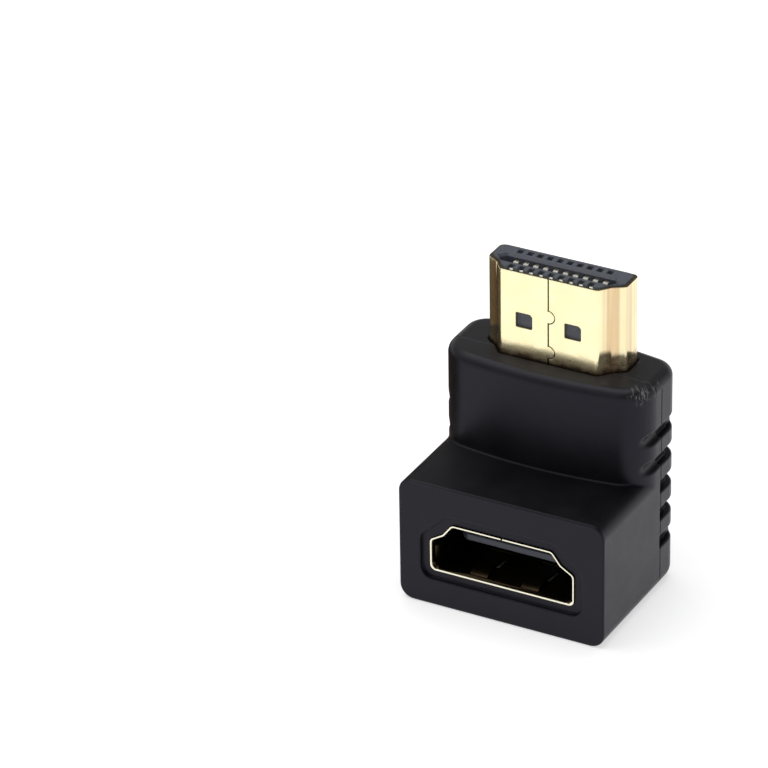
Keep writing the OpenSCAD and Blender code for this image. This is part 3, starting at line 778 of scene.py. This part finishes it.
def make_port_insulator():
    """The port's insulator with the end of its tongue bevelled above and below."""
    def taper(bm):
        split_at(bm, TONGUE_Y + TONGUE_TIP_L)
        for v in bm.verts:
            if abs(v.co.y / MM - TONGUE_Y) < 0.01:
                v.co.z = (TONGUE_Z + (v.co.z / MM - TONGUE_Z) * TONGUE_TIP_T / TONGUE_T) * MM

    insulator = node_copy("port_insulator", "port_insulator_skin")
    edit(insulator, taper)
    soften(insulator, 0.05)
    return insulator


def loft(name, levels):
    """A closed solid through outlines of one length at rising heights: (outline, z) from low to high."""
    count = len(levels[0][0])
    points = [(p[0], p[1], z) for outline, z in levels for p in outline]
    faces = [list(range(count))[::-1], [len(points) - count + i for i in range(count)]]
    for k in range(len(levels) - 1):
        start = k * count
        for i in range(count):
            j = (i + 1) % count
            faces.append([start + i, start + j, start + j + count, start + i + count])
    obj = mesh_object(name, points, faces)
    edit(obj, lambda bm: bmesh.ops.recalc_face_normals(bm, faces=bm.faces))
    return obj


def slot_outline(half_t, half_w):
    inner = half_w - half_t
    corners = [(-half_w, 0), (-inner, -half_t), (inner, -half_t), (half_w, 0), (inner, half_t), (-inner, half_t)]
    return [(x, SLOT_Y + y) for x, y in corners]


def boxes(name, places):
    """One object of separate boxes, each given by its low and high corner."""
    points, faces = [], []
    for low, high in places:
        start = len(points)
        points += [(x, y, z) for z in (low[2], high[2]) for y in (low[1], high[1]) for x in (low[0], high[0])]
        sides = [(0, 2, 3, 1), (4, 5, 7, 6), (0, 1, 5, 4), (2, 6, 7, 3), (0, 4, 6, 2), (1, 3, 7, 5)]
        faces += [[start + i for i in side] for side in sides]
    return mesh_object(name, points, faces)


def make_plug_insulator():
    """The plug's insulator, with a straight bevel round its slot where the CAD part has steps."""
    lane = CONTACT_W + 2 * CONTACT_PLAY
    low, slot_floor = PLUG_ROOT + HOLDER_H, MOUTH_Z - SLOT_D
    window_a = SLOT_T / 2 + SLOT_BEVEL + BAR_T
    window_end, channel_end = window_a + WINDOW_L, BEAM_A + CONTACT_T / 2 + 0.1
    cuts = ([], [], [], [])
    for i in range(1, CONTACT_COUNT + 1):
        x, side = (i - (CONTACT_COUNT + 1) / 2) * PITCH / 2, 1 if i % 2 else -1
        stretches = [
            (lane, 0, channel_end, slot_floor, MOUTH_Z - BAR_H),
            (lane, channel_end - CONTACT_T, window_end, MOUTH_Z - 2 * BAR_H, MOUTH_Z - BAR_H),
            (lane, window_a, window_end, MOUTH_Z - 2 * BAR_H, MOUTH_Z + 1),
            (CONTACT_W, BEAM_A - CONTACT_T / 2, BEAM_A + CONTACT_T / 2, low - 1, slot_floor + 1)
        ]
        for cut_list, (w, a0, a1, z0, z1) in zip(cuts, stretches):
            ys = sorted([SLOT_Y + side * a0, SLOT_Y + side * a1])
            cut_list.append(((x - w / 2, ys[0], z0), (x + w / 2, ys[1], z1)))

    outline = [(p[0], PLUG_WIDE_Y - p[1]) for p in shell_outline(-SHEET_T - FIT)]
    insulator = loft("plug_insulator_skin", [(outline, low), (outline, MOUTH_Z)])
    slot, mouth = slot_outline(SLOT_T / 2, SLOT_W / 2), slot_outline(SLOT_T / 2 + SLOT_BEVEL, SLOT_W / 2 + SLOT_BEVEL)
    levels = [(slot, slot_floor), (slot, MOUTH_Z - SLOT_BEVEL), (mouth, MOUTH_Z), (mouth, MOUTH_Z + 1)]
    subtract(insulator, [loft("slot", levels), *[boxes("cuts", places) for places in cuts]])
    edge = insulator.modifiers.new("edges", "BEVEL")
    edge.width, edge.segments, edge.limit_method = 0.02 * MM, 1, "ANGLE"
    edge.angle_limit = math.radians(40)
    return insulator


# Camera, floor and light

VIEW_AZIMUTH, VIEW_ELEVATION, VIEW_ROLL, VIEW_DISTANCE = 28.84, 29.14, -1.05, 454.8
VIEW_TARGET, VIEW_RIGHT, VIEW_UP = (0, -2.2, 15), -13.22, 6
LENS, SENSOR = 235.7, 36


def turned(azimuth, elevation):
    """The direction towards a viewer at an azimuth and an elevation, in degrees."""
    a, e = math.radians(azimuth), math.radians(elevation)
    return Vector((math.sin(a) * math.cos(e), -math.cos(a) * math.cos(e), math.sin(e)))


def make_camera():
    back = turned(VIEW_AZIMUTH, VIEW_ELEVATION)
    level = Vector((0, 0, 1)).cross(back).normalized()
    roll = Matrix.Rotation(math.radians(VIEW_ROLL), 3, back)
    right = roll @ level
    up = roll @ back.cross(level)
    eye = Vector(VIEW_TARGET) + right * VIEW_RIGHT + up * VIEW_UP + back * VIEW_DISTANCE
    camera = bpy.data.objects.new("camera", bpy.data.cameras.new("camera"))
    camera.data.lens, camera.data.sensor_width = LENS, SENSOR
    camera.data.clip_start, camera.data.clip_end = 0.01, 20
    camera.matrix_world = Matrix.Translation(eye * MM) @ Matrix((right, up, back)).transposed().to_4x4()
    bpy.context.scene.collection.objects.link(camera)
    bpy.context.scene.camera = camera


def seen_directly(n):
    """1 for camera, glossy and transmission rays."""
    path = n.add("ShaderNodeLightPath").outputs
    either = n.math("MAXIMUM", path["Is Camera Ray"], path["Is Glossy Ray"])
    return n.math("MAXIMUM", either, path["Is Transmission Ray"])


FLOOR_SIZE, FLOOR_GLOW = 3000, 0.52


def make_floor():
    half = FLOOR_SIZE / 2
    points = [(-half, -half, 0), (half, -half, 0), (half, half, 0), (-half, half, 0)]
    floor = mesh_object("floor", np.array(points) - [0, 0, 0.02], [(0, 1, 2, 3)])
    m, n = material("white_floor", (0.8, 0.8, 0.8))
    paint = n.add("ShaderNodeBsdfDiffuse", {"Color": (0.8, 0.8, 0.805, 1)})
    strength = n.math("MULTIPLY", seen_directly(n), FLOOR_GLOW)
    glow = n.add("ShaderNodeEmission", {"Color": (1, 1, 1, 1), "Strength": strength})
    both = n.add("ShaderNodeAddShader", {0: paint.outputs[0], 1: glow.outputs[0]})
    n.add("ShaderNodeOutputMaterial", {"Surface": both.outputs[0]})
    floor.data.materials.append(m)
    floor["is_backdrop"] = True


def make_flag():
    """A dark card to the left, seen only in reflections, where the photo has the other copy."""
    points = [(-27, -12, 0.5), (-22, 32, 0.5), (-22, 32, 22), (-27, -12, 22)]
    flag = mesh_object("left_flag", points, [(0, 1, 2, 3)])
    m, n = material("dark_card", (0.02, 0.02, 0.02))
    bands = n.noise(n.stretched(n.position(), 0.25, 0.25, 0.01), 1, 2)
    colour = n.mix(n.ramp(bands, 0.42, 0.6, 0, 1), (0.02, 0.014, 0.01, 1), (0.3, 0.22, 0.14, 1))
    n.surface(Base_Color=colour, Roughness=0.6)
    flag.data.materials.append(m)
    flag.visible_camera = flag.visible_shadow = flag.visible_diffuse = False
    flag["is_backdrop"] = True


def make_world():
    """A white backdrop up to a low height, a dim room above it and a soft glow in front."""
    world = bpy.data.worlds.new("studio")
    world.use_nodes = True
    bpy.context.scene.world = world
    n = Nodes(world.node_tree)
    direction = n.add("ShaderNodeTexCoord").outputs["Generated"]
    height = n.axis(direction, "Z")
    glow = n.near(direction, (-0.15, -0.8, 0.58), 0.1, 0.6)
    room = n.math("MAXIMUM", n.ramp(height, 0.14, 0.36, 1.0, 0.06), n.math("MULTIPLY", glow, 0.8))
    level = n.math("ADD", n.math("MULTIPLY", seen_directly(n), n.math("SUBTRACT", room, 0.35)), 0.35)
    light = n.add("ShaderNodeBackground", {"Color": (1, 1, 1, 1), "Strength": level})
    n.add("ShaderNodeOutputWorld", {"Surface": light.outputs[0]})


def make_lamp(name, azimuth, elevation, distance, size, power):
    lamp = bpy.data.objects.new(name, bpy.data.lights.new(name, "AREA"))
    lamp.data.shape = "RECTANGLE"
    lamp.data.size, lamp.data.size_y = size[0] * MM, size[1] * MM
    lamp.data.energy = power
    back = turned(azimuth, elevation)
    lamp.location = (Vector((0, 0, 12)) + back * distance) * MM
    lamp.rotation_euler = back.to_track_quat("Z", "Y").to_euler()
    bpy.context.scene.collection.objects.link(lamp)


make_camera()
make_floor()
make_flag()
make_world()
make_lamp("top_lamp", -100, 80, 420, (420, 420), 0.9)
make_lamp("left_lamp", -60, 40, 450, (260, 260), 0.12)
make_lamp("right_lamp", 95, 30, 500, (260, 200), 0.2)

black = body_material()
gold = plug_gold_material()
port_gold = port_gold_material()
contact_gold_painted_glint = contact_material()
dark_plastic = insulator_material()
cream_plastic = moulding_material()
laminate = board_material()
solder = solder_material()

place_piece(make_body(), black, "body", "outer_overmould")
place_piece(make_plug_shell(), gold, "gold_shell", "plug_shell")
place_piece(make_plug_insulator(), dark_plastic, "insulator", "plug_insulator")
place_piece(make_port_shell(), port_gold, "gold_shell", "port_shell")
place_piece(make_port_insulator(), dark_plastic, "insulator", "port_insulator")

for name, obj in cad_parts.items():
    if "_contact_" in name:
        dress(obj, contact_gold_painted_glint)
dress(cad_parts["plug_tail_holder"], dark_plastic)
dress(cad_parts["inner_moulding"], cream_plastic)
dress(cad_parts["link_board"], laminate)
dress(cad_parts["plug_solder"], solder)
dress(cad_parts["port_solder"], solder)

bpy.context.scene.view_settings.view_transform = "Standard"

boxes = {"cad": cad_box, "visual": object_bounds()}
